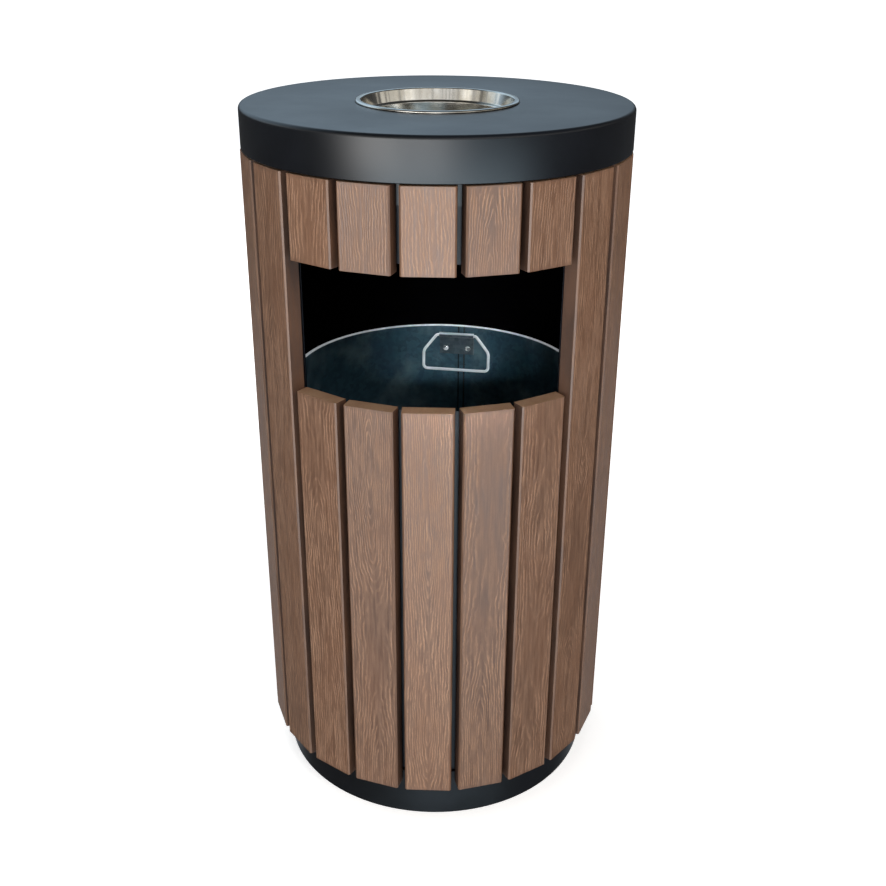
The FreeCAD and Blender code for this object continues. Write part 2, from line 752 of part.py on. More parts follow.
def make_handle(side, turn):
    """Closed loop of wire, narrow at the pivot and wide at the grip."""
    top = S.handle_top.value / 2
    grip = S.handle_bottom.value / 2
    knee = S.handle_knee.value
    drop = S.handle_drop.value
    bend = S.handle_bend.value
    knee_bend = S.handle_knee_bend.value
    corners = [
        (FreeCAD.Vector(top, 0, 0), bend),
        (FreeCAD.Vector(grip, 0, -knee), knee_bend),
        (FreeCAD.Vector(grip, 0, -drop), bend),
        (FreeCAD.Vector(-grip, 0, -drop), bend),
        (FreeCAD.Vector(-grip, 0, -knee), knee_bend),
        (FreeCAD.Vector(-top, 0, 0), bend),
    ]
    path = rounded_loop(corners, FreeCAD.Vector(0, 0, 0))
    section = Part.Wire(Part.Circle(
        FreeCAD.Vector(0, 0, 0), FreeCAD.Vector(1, 0, 0), S.wire_radius.value
    ).toShape())
    handle = doc.addObject("Part::Feature", f"handle_{side}")
    handle.Label = f"handle_{side}"
    handle.Shape = path.makePipeShell([section], True, True)
    lean = FreeCAD.Placement(
        FreeCAD.Vector(0, pivot_reach.value, S.pivot_height.value),
        FreeCAD.Rotation(FreeCAD.Vector(1, 0, 0), -S.handle_tilt.value),
    )
    about_axis = FreeCAD.Placement(
        FreeCAD.Vector(0, 0, 0), FreeCAD.Rotation(FreeCAD.Vector(0, 0, 1), turn.value)
    )
    handle.Placement = about_axis.multiply(lean)
    return handle


# ---------------------------------------------------------------- assembly

pieces = [make_shell()]
pieces += make_bands()
pieces += [make_base_plate(), make_liner_guides()]
pieces += make_slats()
pieces += [
    make_screws("slat_screws_base", [ROW_BASE]),
    make_screws("slat_screws_middle", [ROW_MIDDLE]),
    make_screws("slat_screws_window", [ROW_SILL, ROW_LINTEL]),
    make_screws("slat_screws_top", [ROW_TOP]),
    make_spacers(),
]
pieces += [make_lid(), make_spigot(), make_bowl()]
pieces += [make_liner_wall(), make_liner_floor(), make_rim_bead(), make_lock_seam()]
for side, turn in SETS:
    pieces += [make_bracket(side, turn), make_rivets(side, turn), make_handle(side, turn)]
doc.recompute()


# ---------------------------------------------------------------- checks and files

CUT_LEAST = 1.0                # mm3 that a cut has to remove


def check_document():
    """Stop on a failed feature, a null or invalid shape, or a cut that removes nothing."""
    for item in doc.Objects:
        if "Invalid" in item.State or "Error" in item.State:
            raise RuntimeError(f"{item.Label} failed: {item.State}")
        if item.TypeId in ("PartDesign::Pocket", "PartDesign::Groove"):
            before = item.BaseFeature.Shape.Volume
            if before - item.Shape.Volume < CUT_LEAST:
                raise RuntimeError(f"{item.Label} cuts nothing")
    for piece in pieces:
        if piece.Shape.isNull() or not piece.Shape.isValid():
            raise RuntimeError(f"{piece.Label} has a bad shape")


check_document()
os.makedirs("parts", exist_ok=True)
for piece in pieces:
    piece.Shape.exportStep(f"parts/{piece.Label}.step")
    box = piece.Shape.BoundBox
    solids = len(piece.Shape.Solids)
    print(f"{piece.Label:22s} {solids:2d} solids {piece.Shape.Volume:12.1f} mm3 "
          f"x {box.XMin:7.1f} {box.XMax:7.1f} "
          f"y {box.YMin:7.1f} {box.YMax:7.1f} "
          f"z {box.ZMin:6.1f} {box.ZMax:6.1f}")
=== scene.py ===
import math

import bmesh
import bpy
from mathutils import Matrix, Vector, noise


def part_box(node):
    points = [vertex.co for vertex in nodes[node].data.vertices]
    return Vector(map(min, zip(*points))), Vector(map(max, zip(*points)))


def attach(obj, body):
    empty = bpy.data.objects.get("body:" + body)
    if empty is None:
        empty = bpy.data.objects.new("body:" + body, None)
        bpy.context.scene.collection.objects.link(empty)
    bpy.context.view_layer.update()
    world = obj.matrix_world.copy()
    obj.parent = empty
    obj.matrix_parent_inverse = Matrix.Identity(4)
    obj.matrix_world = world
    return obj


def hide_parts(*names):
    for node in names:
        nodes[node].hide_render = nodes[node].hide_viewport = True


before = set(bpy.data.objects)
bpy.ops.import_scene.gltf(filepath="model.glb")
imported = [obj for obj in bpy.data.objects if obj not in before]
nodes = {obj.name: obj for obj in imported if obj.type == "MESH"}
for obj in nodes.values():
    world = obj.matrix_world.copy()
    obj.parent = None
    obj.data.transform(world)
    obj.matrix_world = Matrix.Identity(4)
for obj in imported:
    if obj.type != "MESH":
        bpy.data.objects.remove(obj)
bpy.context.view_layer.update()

# A round litter bin clad in composite planks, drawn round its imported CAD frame.
# Metres, +Z up, origin at the centre of the underside, and the window faces -Y.

# ---------------------------------------------------------------- camera

# where the photograph was taken from, seen from the bin
CAMERA_REACH = 1.1962          # metres from the bin's axis
CAMERA_HEIGHT = 0.9450         # metres above the floor
CAMERA_AROUND = 0.0399         # radians round from the middle of the window
CAMERA_PITCH = 0.4372          # radians below the horizon
CAMERA_YAW = -0.0333           # radians off +Y
CAMERA_ROLL = 0.0062           # radians
CAMERA_LENS = 46.17            # mm
CAMERA_SENSOR = 36             # mm wide


def make_camera():
    """The photograph's viewpoint."""
    heading = Vector((math.sin(CAMERA_YAW), math.cos(CAMERA_YAW), 0))
    forward = heading * math.cos(CAMERA_PITCH) - Vector((0, 0, math.sin(CAMERA_PITCH)))
    level = forward.cross(Vector((0, 0, 1))).normalized()
    above = level.cross(forward)
    right = level * math.cos(CAMERA_ROLL) + above * math.sin(CAMERA_ROLL)
    up = above * math.cos(CAMERA_ROLL) - level * math.sin(CAMERA_ROLL)
    place = Vector((math.sin(CAMERA_AROUND), -math.cos(CAMERA_AROUND), 0)) * CAMERA_REACH
    place.z = CAMERA_HEIGHT
    data = bpy.data.cameras.new("camera")
    data.sensor_width = CAMERA_SENSOR
    data.lens = CAMERA_LENS
    camera = bpy.data.objects.new("camera", data)
    bpy.context.scene.collection.objects.link(camera)
    turn = Matrix((right, up, -forward)).transposed().to_4x4()
    camera.matrix_world = Matrix.Translation(place) @ turn
    bpy.context.scene.camera = camera


# ---------------------------------------------------------------- node helpers


def new_material(name):
    """An empty material with a Principled shader: (material, tree, shader)."""
    material = bpy.data.materials.new(name)
    material.use_nodes = True
    tree = material.node_tree
    tree.nodes.clear()
    shader = tree.nodes.new("ShaderNodeBsdfPrincipled")
    output = tree.nodes.new("ShaderNodeOutputMaterial")
    tree.links.new(shader.outputs["BSDF"], output.inputs["Surface"])
    return material, tree, shader


def feed(tree, socket, value):
    """Links an output to a socket, or sets a plain value on it."""
    if isinstance(value, bpy.types.NodeSocket):
        tree.links.new(value, socket)
    else:
        socket.default_value = value


def stretched(tree, scale, turn=(0, 0, 0)):
    """Object coordinates in metres, scaled along each axis."""
    coordinates = tree.nodes.new("ShaderNodeTexCoord")
    mapping = tree.nodes.new("ShaderNodeMapping")
    mapping.inputs["Scale"].default_value = scale
    mapping.inputs["Rotation"].default_value = turn
    tree.links.new(coordinates.outputs["Object"], mapping.inputs["Vector"])
    return mapping.outputs["Vector"]


def noise_at(tree, vector, scale, detail, roughness=0.55):
    """A noise factor, with scale features to each unit of the vector."""
    node = tree.nodes.new("ShaderNodeTexNoise")
    node.inputs["Scale"].default_value = scale
    node.inputs["Detail"].default_value = detail
    node.inputs["Roughness"].default_value = roughness
    tree.links.new(vector, node.inputs["Vector"])
    return node.outputs["Fac"]


def spread(tree, value, low, high, out_low=0.0, out_high=1.0):
    """value from low..high to out_low..out_high, clamped, with soft ends."""
    node = tree.nodes.new("ShaderNodeMapRange")
    node.interpolation_type = "SMOOTHSTEP"
    numbers = {"From Min": low, "From Max": high, "To Min": out_low, "To Max": out_high}
    for name, number in numbers.items():
        node.inputs[name].default_value = number
    tree.links.new(value, node.inputs["Value"])
    return node.outputs["Result"]


def blend_colours(tree, factor, first, second, mode="MIX"):
    """Two colours mixed by a factor."""
    node = tree.nodes.new("ShaderNodeMix")
    node.data_type = "RGBA"
    node.blend_type = mode
    feed(tree, node.inputs["Factor"], factor)
    feed(tree, node.inputs[6], first)
    feed(tree, node.inputs[7], second)
    return node.outputs[2]


def math_node(tree, operation, first, second=0.0):
    """One arithmetic step."""
    node = tree.nodes.new("ShaderNodeMath")
    node.operation = operation
    feed(tree, node.inputs[0], first)
    feed(tree, node.inputs[1], second)
    return node.outputs[0]


def times(tree, first, second):
    """A product."""
    return math_node(tree, "MULTIPLY", first, second)


def plus(tree, first, second):
    """A sum."""
    return math_node(tree, "ADD", first, second)


def parts_of(tree, vector):
    """The "X", "Y" and "Z" parts of a vector."""
    node = tree.nodes.new("ShaderNodeSeparateXYZ")
    tree.links.new(vector, node.inputs["Vector"])
    return node.outputs


def vector_node(tree, operation, first, second=(0, 0, 0)):
    """One step of vector arithmetic, with all its outputs."""
    node = tree.nodes.new("ShaderNodeVectorMath")
    node.operation = operation
    tree.links.new(first, node.inputs[0])
    node.inputs[1].default_value = second
    return node.outputs


def off_axis(tree):
    """How far a point is from the bin's axis, in metres."""
    return vector_node(tree, "LENGTH", stretched(tree, (1, 1, 0)))["Value"]


def attribute(tree, name):
    """A number that the mesh carries at each point."""
    node = tree.nodes.new("ShaderNodeAttribute")
    node.attribute_name = name
    return node.outputs["Fac"]


def relief(tree, shader, height, depth, strength):
    """A bump of that depth in metres, which strength makes fainter below 1."""
    node = tree.nodes.new("ShaderNodeBump")
    node.inputs["Strength"].default_value = strength
    node.inputs["Distance"].default_value = depth
    tree.links.new(height, node.inputs["Height"])
    tree.links.new(node.outputs["Normal"], shader.inputs["Normal"])


def rgb(red, green, blue):
    """A colour given as it looks on screen, from 0 to 255."""
    def linear(level):
        level = level / 255
        return level / 12.92 if level <= 0.04045 else ((level + 0.055) / 1.055) ** 2.4
    return (linear(red), linear(green), linear(blue), 1.0)


# ---------------------------------------------------------------- materials

SHELL_SHEET = 0.0015           # metres, as are all lengths below
SEAM_WIDTH = 0.0071            # of the liner's lock seam
CURL_CROWN = 0.4662            # above this height the bracket curls get a painted highlight
GRAIN_DEPTH = 0.00025          # how deep the grain is pressed into the planks
GRAIN_WOBBLE = 1.1             # how far the fine wobble shifts a line of the grain, in lines
GRAIN_CONTRAST = 0.36          # share of the drawn lines in a plank's colour
STREAK_CONTRAST = 0.68         # share of the fine streaks
DARKEST_PLANK = (0.84, 0.82, 0.81, 1)
PALEST_PLANK = (1.12, 1.1, 1.08, 1)
WARM_BROWN = rgb(124, 86, 60)
DUST = rgb(120, 122, 124)
STEEL_BRIGHT = rgb(216, 215, 211)
STEEL_SMEARED = rgb(196, 191, 180)
INSIDE_SHADE = rgb(3, 3, 4)    # painted shade: the shell's inner face, near-black
INSIDE_MATT = 0.95             # and its roughness
SHELL_GLOSS = 0.5
# painted shade along the folds of the liner's lock seam
SEAM_FOLD_SHADE = rgb(2, 4, 6)
# colour of the painted highlight on the handle brackets' curls
CURL_HIGHLIGHT = rgb(205, 210, 214)
# colour of the painted highlight glow on the rim wire and handles
COOL_GLOW = (0.88, 0.95, 1.0, 1)


def powder_coat(name, coat_dark, coat_light, roughness, gloss):
    """Satin black powder coat with a fine orange peel and a little dust: (material, tree, shader)."""
    material, tree, shader = new_material(name)
    place = stretched(tree, (1, 1, 1))
    cloud = noise_at(tree, place, 9, detail=5)
    peel = noise_at(tree, place, 900, detail=2)
    dust = spread(tree, noise_at(tree, place, 1600, detail=1), 0.72, 0.80)
    body = blend_colours(tree, spread(tree, cloud, 0.3, 0.7), coat_dark, coat_light)
    colour = blend_colours(tree, times(tree, dust, 0.18), body, DUST)
    tree.links.new(colour, shader.inputs["Base Color"])
    satin = spread(tree, cloud, 0.25, 0.75, roughness - 0.03, roughness + 0.05)
    tree.links.new(satin, shader.inputs["Roughness"])
    shader.inputs["IOR"].default_value = 1.52
    shader.inputs["Specular IOR Level"].default_value = gloss
    relief(tree, shader, peel, 0.00004, 0.35)
    return material, tree, shader


def composite(name, light, dark, roughness):
    """Wood-plastic composite, whose pressed grain has ridges rubbed paler than the board between."""
    material, tree, shader = new_material(name)
    fibre = noise_at(tree, stretched(tree, (1, 1, 0.25)), 1400, detail=3, roughness=0.6)
    streak = noise_at(tree, stretched(tree, (1, 1, 0.06)), 420, detail=4, roughness=0.6)
    patch = noise_at(tree, stretched(tree, (1, 1, 0.3)), 34, detail=4)
    wobble = noise_at(tree, stretched(tree, (1, 1, 0.4)), 200, detail=3)
    gap = noise_at(tree, stretched(tree, (1, 1, 0.2)), 230, detail=3)

    phase = plus(tree, attribute(tree, "grain"), times(tree, wobble, GRAIN_WOBBLE))
    wave = math_node(tree, "SINE", times(tree, phase, 2 * math.pi))
    broken = spread(tree, gap, 0.34, 0.58, 0.2, 1.0)
    ridge = times(tree, times(tree, spread(tree, wave, 0.0, 0.95), broken), attribute(tree, "face"))

    shade = plus(tree, times(tree, ridge, GRAIN_CONTRAST), times(tree, streak, STREAK_CONTRAST))
    colour = blend_colours(tree, spread(tree, shade, 0.08, 0.85), dark, light)
    warmth = times(tree, spread(tree, patch, 0.35, 0.7), 0.4)
    colour = blend_colours(tree, warmth, colour, WARM_BROWN)
    tone = blend_colours(tree, attribute(tree, "tone"), DARKEST_PLANK, PALEST_PLANK)
    colour = blend_colours(tree, 1.0, colour, tone, "MULTIPLY")
    colour = blend_colours(tree, times(tree, spread(tree, fibre, 0.3, 0.75), 0.2), colour, dark)
    tree.links.new(colour, shader.inputs["Base Color"])

    matt = spread(tree, streak, 0.3, 0.7, roughness - 0.05, roughness + 0.08)
    tree.links.new(matt, shader.inputs["Roughness"])
    shader.inputs["Specular IOR Level"].default_value = 0.72
    height = plus(tree, times(tree, ridge, 0.75), times(tree, fibre, 0.25))
    relief(tree, shader, height, GRAIN_DEPTH, 0.8)
    return material


def polished_steel():
    """Bright stainless steel with turning marks round the bowl and soft smears."""
    material, tree, shader = new_material("polished_steel")
    rings = noise_at(tree, stretched(tree, (0.04, 0.04, 1)), 1400, detail=3)
    smear = noise_at(tree, stretched(tree, (1, 1, 1)), 34, detail=4)
    colour = blend_colours(tree, spread(tree, smear, 0.35, 0.7), STEEL_BRIGHT, STEEL_SMEARED)
    tree.links.new(colour, shader.inputs["Base Color"])
    shader.inputs["Metallic"].default_value = 1.0
    tree.links.new(spread(tree, smear, 0.3, 0.7, 0.09, 0.17), shader.inputs["Roughness"])
    relief(tree, shader, rings, 0.00003, 0.25)
    return material


def shell_coat(inner_radius):
    """The shell's coat: satin outside that radius, and inside it near-black and matt with no gloss, as
    painted shade.
    """
    material, tree, shader = powder_coat("shell_coat", rgb(24, 28, 35), rgb(32, 37, 45),
                                         roughness=0.40, gloss=SHELL_GLOSS)
    outside = math_node(tree, "GREATER_THAN", off_axis(tree), inner_radius)
    painted = shader.inputs["Base Color"].links[0].from_socket
    # painted shade: inside the shell the colour is near-black and the gloss is off
    colour = blend_colours(tree, outside, INSIDE_SHADE, painted)
    tree.links.new(colour, shader.inputs["Base Color"])
    tree.links.new(times(tree, outside, SHELL_GLOSS), shader.inputs["Specular IOR Level"])
    satin = shader.inputs["Roughness"].links[0].from_socket
    matt_inside = math_node(tree, "SUBTRACT", INSIDE_MATT, outside)
    tree.links.new(math_node(tree, "MAXIMUM", satin, matt_inside), shader.inputs["Roughness"])
    return material


def seam_lines(tree, node_name):
    """1 along the two edges of the lock seam, where painted shade darkens the folds."""
    low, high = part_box(node_name)
    middle = (low + high) / 2
    angle = math.atan2(middle.x, middle.y)
    parts = parts_of(tree, stretched(tree, (1, 1, 1), (0, 0, angle)))
    aside = math_node(tree, "ABSOLUTE", parts["X"])
    off_edge = math_node(tree, "ABSOLUTE", math_node(tree, "SUBTRACT", aside, SEAM_WIDTH / 2))
    line = spread(tree, off_edge, 0.0004, 0.0013, 1.0, 0.0)
    return times(tree, line, math_node(tree, "GREATER_THAN", parts["Y"], 0.0))


def galvanised(name, deep, pale, bloom, roughness, highlight_above=None):
    """Galvanised sheet: crystal spangle and cloudy bloom, with painted shade along the seam's folds or a
    painted highlight on the curl.
    """
    material, tree, shader = new_material(name)
    place = stretched(tree, (1, 1, 1))
    spangle = tree.nodes.new("ShaderNodeTexVoronoi")
    spangle.inputs["Scale"].default_value = 210
    spangle.inputs["Randomness"].default_value = 1.0
    tree.links.new(place, spangle.inputs["Vector"])
    crystal = tree.nodes.new("ShaderNodeSeparateColor")
    tree.links.new(spangle.outputs["Color"], crystal.inputs["Color"])
    facet = crystal.outputs["Red"]
    cloud = noise_at(tree, place, 17, detail=5, roughness=0.6)
    colour = blend_colours(tree, facet, deep, pale)
    clouded = times(tree, spread(tree, cloud, 0.45, 0.75), 0.5)
    colour = blend_colours(tree, clouded, colour, bloom)
    # painted highlight: the bracket's curl is paler above a height, as if lit
    if highlight_above:
        rubbed = spread(tree, parts_of(tree, place)["Z"], highlight_above, highlight_above + 0.0004)
        colour = blend_colours(tree, rubbed, colour, CURL_HIGHLIGHT)
    else:
        # painted shade: near-black lines along the two edges of the lock seam
        fold_shade = times(tree, seam_lines(tree, "liner_lock_seam"), 0.9)
        colour = blend_colours(tree, fold_shade, colour, SEAM_FOLD_SHADE)
    tree.links.new(colour, shader.inputs["Base Color"])
    shader.inputs["Metallic"].default_value = 0.45
    satin = spread(tree, facet, 0.0, 1.0, roughness, roughness + 0.08)
    tree.links.new(satin, shader.inputs["Roughness"])
    return material


def bright_zinc(name, pale, dull, roughness, metallic, glow=0.0):
    """Bright zinc plating with a fine drawn texture; the glow makes it give off its own light, as a
    painted highlight in the dark liner.
    """
    material, tree, shader = new_material(name)
    place = stretched(tree, (1, 1, 1))
    cloud = noise_at(tree, place, 120, detail=4)
    drawn = noise_at(tree, stretched(tree, (0.2, 1, 1)), 1800, detail=2)
    colour = blend_colours(tree, spread(tree, cloud, 0.35, 0.7), pale, dull)
    tree.links.new(colour, shader.inputs["Base Color"])
    shader.inputs["Metallic"].default_value = metallic
    worn = spread(tree, cloud, 0.3, 0.7, roughness - 0.04, roughness + 0.08)
    tree.links.new(worn, shader.inputs["Roughness"])
    # painted highlight: the zinc's own glow, though it is no lamp
    shader.inputs["Emission Color"].default_value = COOL_GLOW
    shader.inputs["Emission Strength"].default_value = glow
    relief(tree, shader, drawn, 0.00003, 0.25)
    return material


def assign(material, *names):
    """Gives CAD nodes a material, in place of their own."""
    for name in names:
        nodes[name].data.materials.clear()
        nodes[name].data.materials.append(material)


# ---------------------------------------------------------------- planks

SHORT_PLANKS = sum(name.startswith("slat_lower_") for name in nodes)
PLANKS = SHORT_PLANKS + sum(name.startswith("slat_full_") for name in nodes)
PLANK_STEP = 2 * math.pi / PLANKS
PLANK_BEVEL = 0.0015           # along the long front edges
GRAIN_COLUMNS = 46             # across a plank's face
GRAIN_PITCH = 0.0044           # between rows along a plank
GRAIN_LINE = 0.0031            # between two lines of the grain
GRAIN_MARGIN = 0.0012          # smooth border of a plank's face
GRAIN_DRIFT = 0.012            # how far the middle of the grain wanders across a plank
FULL_DENSITY = 0.75            # grain sparser than this share of the usual fades into the board
STEEP_FADE = 2.5               # how fast lines fade where they run across the plank
ARCH_RISE = 0.026              # how far the arches are pulled up or down
ARCH_REACH = 0.011             # how far from a plank's middle the arches spread
ARCH_ROUND = 0.0022            # roundness of the arches' tips
WAVE_LARGE = 0.0022            # how far slow waves move a line
WAVE_SMALL = 0.0008            # and quick ones
PLANK_CREASE = 28              # degrees, the bend from which an edge stays sharp
END_MATERIAL = 1               # places in a plank's list of materials: face, end, side
SIDE_MATERIAL = 2

# the middle plank under the window, which faces -Y squarely
plank_low, plank_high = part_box("slat_lower_3")
PLANK_FACE = -plank_low.y
PLANK_BACK = -plank_high.y
PLANK_EDGE = PLANK_FACE - PLANK_BEVEL
PLANK_HALF = (plank_high.x - plank_low.x) / 2
FACE_HALF = PLANK_HALF - PLANK_BEVEL
COLUMN_STEP = 2 * FACE_HALF / GRAIN_COLUMNS
COLUMNS = [FACE_HALF * (2 * column / GRAIN_COLUMNS - 1) for column in range(GRAIN_COLUMNS + 1)]


def grain_phase(across, height, seed):
    """Which line of the grain a point of a plank's face is on, counted in lines from its middle.

    The grain is that of a flat-sawn board: chains of nested arches that point up or
    down along its middle, and long wavy lines beside them.
    """
    centre = noise.noise(Vector((seed * 7.3, height * 3.0, 0.0))) * GRAIN_DRIFT
    offset = across - centre
    rise = noise.noise(Vector((seed * 3.1, 5.0, height * 5.5))) * ARCH_RISE
    arch = rise / (1 + (offset / ARCH_REACH) ** 2)
    wave = noise.noise(Vector((across * 55.0, height * 22.0, seed * 11.0))) * WAVE_LARGE
    wave += noise.noise(Vector((across * 140.0, height * 70.0, seed * 5.0))) * WAVE_SMALL
    return (math.hypot(offset, ARCH_ROUND) + arch + wave) / GRAIN_LINE


def pressed_row(phases, below, from_end):
    """A row of points across a plank's face, each with how much of the grain it shows.

    phases and below are the grain of this row and of the one under it, and from_end
    is how far the row is from the plank's nearer end.
    """
    row = []
    for column, (across, phase, phase_below) in enumerate(zip(COLUMNS, phases, below)):
        beside = phases[column - 1] if column else phases[1]
        density = math.hypot((phase - beside) / COLUMN_STEP, (phase - phase_below) / GRAIN_PITCH)
        shown = min((FACE_HALF - abs(across)) / GRAIN_MARGIN, from_end / GRAIN_MARGIN, 1.0)
        shown *= min(density * GRAIN_LINE / FULL_DENSITY, 1.0) ** 2
        drawn = max(1.0 - STEEP_FADE * abs(phase - phase_below), 0.0)
        hollow = 0.5 - 0.5 * math.sin(2 * math.pi * phase)
        row.append((across, PLANK_FACE - GRAIN_DEPTH * hollow * drawn * shown, phase, shown))
    return row


def plank_rows(foot, head, seed):
    """Rows round a plank from foot to head: (height, points), each point (across, out, phase, shown)."""
    count = max(2, round((head - foot) / GRAIN_PITCH))
    rows = []
    below = None
    for step in range(count + 1):
        height = foot + (head - foot) * step / count
        phases = [grain_phase(across, height, seed) for across in COLUMNS]
        left = [(-PLANK_HALF, PLANK_BACK, phases[0], 0.0), (-PLANK_HALF, PLANK_EDGE, phases[0], 0.0)]
        right = [(PLANK_HALF, PLANK_EDGE, phases[-1], 0.0), (PLANK_HALF, PLANK_BACK, phases[-1], 0.0)]
        face = pressed_row(phases, below or phases, min(height - foot, head - height))
        rows.append((height, left + face + right))
        below = phases
    return rows


def plank_faces(rows, around):
    """The quads between the rows, then a plank's foot and head, as numbers of points."""
    faces = []
    for row in range(rows - 1):
        for column in range(around):
            here = row * around + column
            after = row * around + (column + 1) % around
            faces.append((here, after, after + around, here + around))
    faces.append(tuple(reversed(range(around))))
    faces.append(tuple(range((rows - 1) * around, rows * around)))
    return faces


def carry(mesh, name, numbers):
    """Gives each point of a mesh a number that its material reads."""
    carried = mesh.attributes.new(name, "FLOAT", "POINT")
    carried.data.foreach_set("value", numbers)


def make_plank(node_name, angle, seed, materials):
    """A plank with its grain pressed into the front face, in place of its CAD solid."""
    low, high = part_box(node_name)
    outward = Vector((math.sin(angle), -math.cos(angle), 0))
    sideways = Vector((math.cos(angle), math.sin(angle), 0))
    rows = plank_rows(low.z, high.z, seed)
    points = []
    grains = []
    insets = []
    for height, row in rows:
        for across, out, phase, shown in row:
            points.append(sideways * across + outward * out + Vector((0, 0, height)))
            grains.append(phase)
            insets.append(shown)
    around = len(rows[0][1])
    mesh = bpy.data.meshes.new(node_name.replace("slat", "plank"))
    mesh.from_pydata(points, [], plank_faces(len(rows), around))
    tone = noise.cell(Vector((seed * 1.7, 3.0, 9.0)))
    carry(mesh, "grain", grains)
    carry(mesh, "face", insets)
    carry(mesh, "tone", [tone] * len(points))
    mesh.shade_smooth()
    mesh.set_sharp_from_angle(angle=math.radians(PLANK_CREASE))
    for material in materials:
        mesh.materials.append(material)
    for end in (-2, -1):
        mesh.polygons[end].material_index = END_MATERIAL
    sides_and_back = (0, around - 2, around - 1)
    for row in range(len(rows) - 1):
        for column in sides_and_back:
            mesh.polygons[row * around + column].material_index = SIDE_MATERIAL
    plank = bpy.data.objects.new(mesh.name, mesh)
    bpy.context.scene.collection.objects.link(plank)
    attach(plank, "bin_body")
    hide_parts(node_name)


def make_planks(materials):
    """Short planks above and below the window, and full ones round the rest."""
    middle = (SHORT_PLANKS + 1) / 2
    for number in range(1, SHORT_PLANKS + 1):
        angle = (number - middle) * PLANK_STEP
        make_plank(f"slat_lower_{number}", angle, number, materials)
        make_plank(f"slat_upper_{number}", angle, number + 0.5, materials)
    for number in range(1, PLANKS - SHORT_PLANKS + 1):
        angle = (number + SHORT_PLANKS - middle) * PLANK_STEP
        make_plank(f"slat_full_{number:02d}", angle, number + SHORT_PLANKS, materials)


# ---------------------------------------------------------------- turned pieces

TURN_STEPS = 240               # round the bin's axis
ARC_STEPS = 7                  # in each rounded corner of a profile
TURNED_CREASE = 32             # degrees


def rounded(corners):
    """A closed profile of (radius, height) points from (radius, height, bend) corners."""
    outline = []
    for index, (radius, height, bend) in enumerate(corners):
        corner = Vector((radius, height))
        if not bend:
            outline.append(corner)
            continue
        before = (Vector(corners[index - 1][:2]) - corner).normalized()
        after = (Vector(corners[(index + 1) % len(corners)][:2]) - corner).normalized()
        half_angle = before.angle(after) / 2
        reach = bend / math.tan(half_angle)
        start = corner + before * reach
        end = corner + after * reach
        centre = corner + (before + after).normalized() * (bend / math.sin(half_angle))
        for step in range(ARC_STEPS + 1):
            chord = start.lerp(end, step / ARC_STEPS) - centre
            outline.append(centre + chord.normalized() * bend)
    return outline


def make_turned(node_name, corners, body, material):
    """A smooth solid turned round the bin's axis in place of a CAD node."""
    outline = rounded(corners)
    shape = bmesh.new()
    rings = []
    for step in range(TURN_STEPS):
        angle = 2 * math.pi * step / TURN_STEPS
        rings.append([shape.verts.new((point.x * math.sin(angle), -point.x * math.cos(angle), point.y))
                      for point in outline])
    for step, ring in enumerate(rings):
        beside = rings[(step + 1) % TURN_STEPS]
        for index in range(len(outline)):
            after = (index + 1) % len(outline)
            if outline[index].x + outline[after].x > 0:
                shape.faces.new((ring[index], ring[after], beside[after], beside[index]))
    bmesh.ops.remove_doubles(shape, verts=shape.verts, dist=1e-6)
    bmesh.ops.recalc_face_normals(shape, faces=shape.faces)
    mesh = bpy.data.meshes.new(node_name + "_turned")
    shape.to_mesh(mesh)
    shape.free()
    mesh.shade_smooth()
    mesh.set_sharp_from_angle(angle=math.radians(TURNED_CREASE))
    mesh.materials.append(material)
    piece = bpy.data.objects.new(mesh.name, mesh)
    bpy.context.scene.collection.objects.link(piece)
    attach(piece, body)
    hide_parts(node_name)


LID_SHEET = 0.0012
LID_ROUND = 0.004              # outer radius of the pressed edge
LID_HEM = 0.008
LID_HOLE = 0.080
BOWL_SHEET = 0.001
BOWL_THROAT = 0.078            # radii from the mouth down to the flat of the floor
BOWL_WALL_FOOT = 0.075
BOWL_WELL = 0.071
BOWL_WELL_FOOT = 0.070
BOWL_FLOOR = 0.062
BOWL_SHOULDER_DEPTH = 0.013
BOWL_WELL_DEPTH = 0.034
BOWL_PRESS = 0.0015            # radius of the bowl's pressed corners
BOWL_PRESS_UNDER = 0.0005      # and of the same corners on the underside
BOWL_WELL_BEND = 0.004
BOWL_FLOOR_BEND = 0.003
BOWL_RIM_ROUND = 0.0016
BOWL_FOLD = 0.0004             # in the tight folds
BOWL_LIP_EDGE = 0.0003
REST_GAP = 0.0002              # between the bowl's lip and the lid


def make_lid(material):
    """The lid cap: pressed edge, skirt and turned-in hem."""
    low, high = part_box("lid_cap")
    outside = high.x
    inside = outside - LID_SHEET
    hem = inside - LID_SHEET
    hem_top = low.z + LID_HEM
    under = high.z - LID_SHEET
    make_turned("lid_cap", [
        (LID_HOLE, under, 0),
        (inside, under, LID_ROUND - LID_SHEET),
        (inside, hem_top, 0),
        (hem, hem_top, 0),
        (hem, low.z, LID_SHEET / 2),
        (outside, low.z, LID_SHEET / 2),
        (outside, high.z, LID_ROUND),
        (LID_HOLE, high.z, LID_SHEET / 3),
    ], "lid", material)


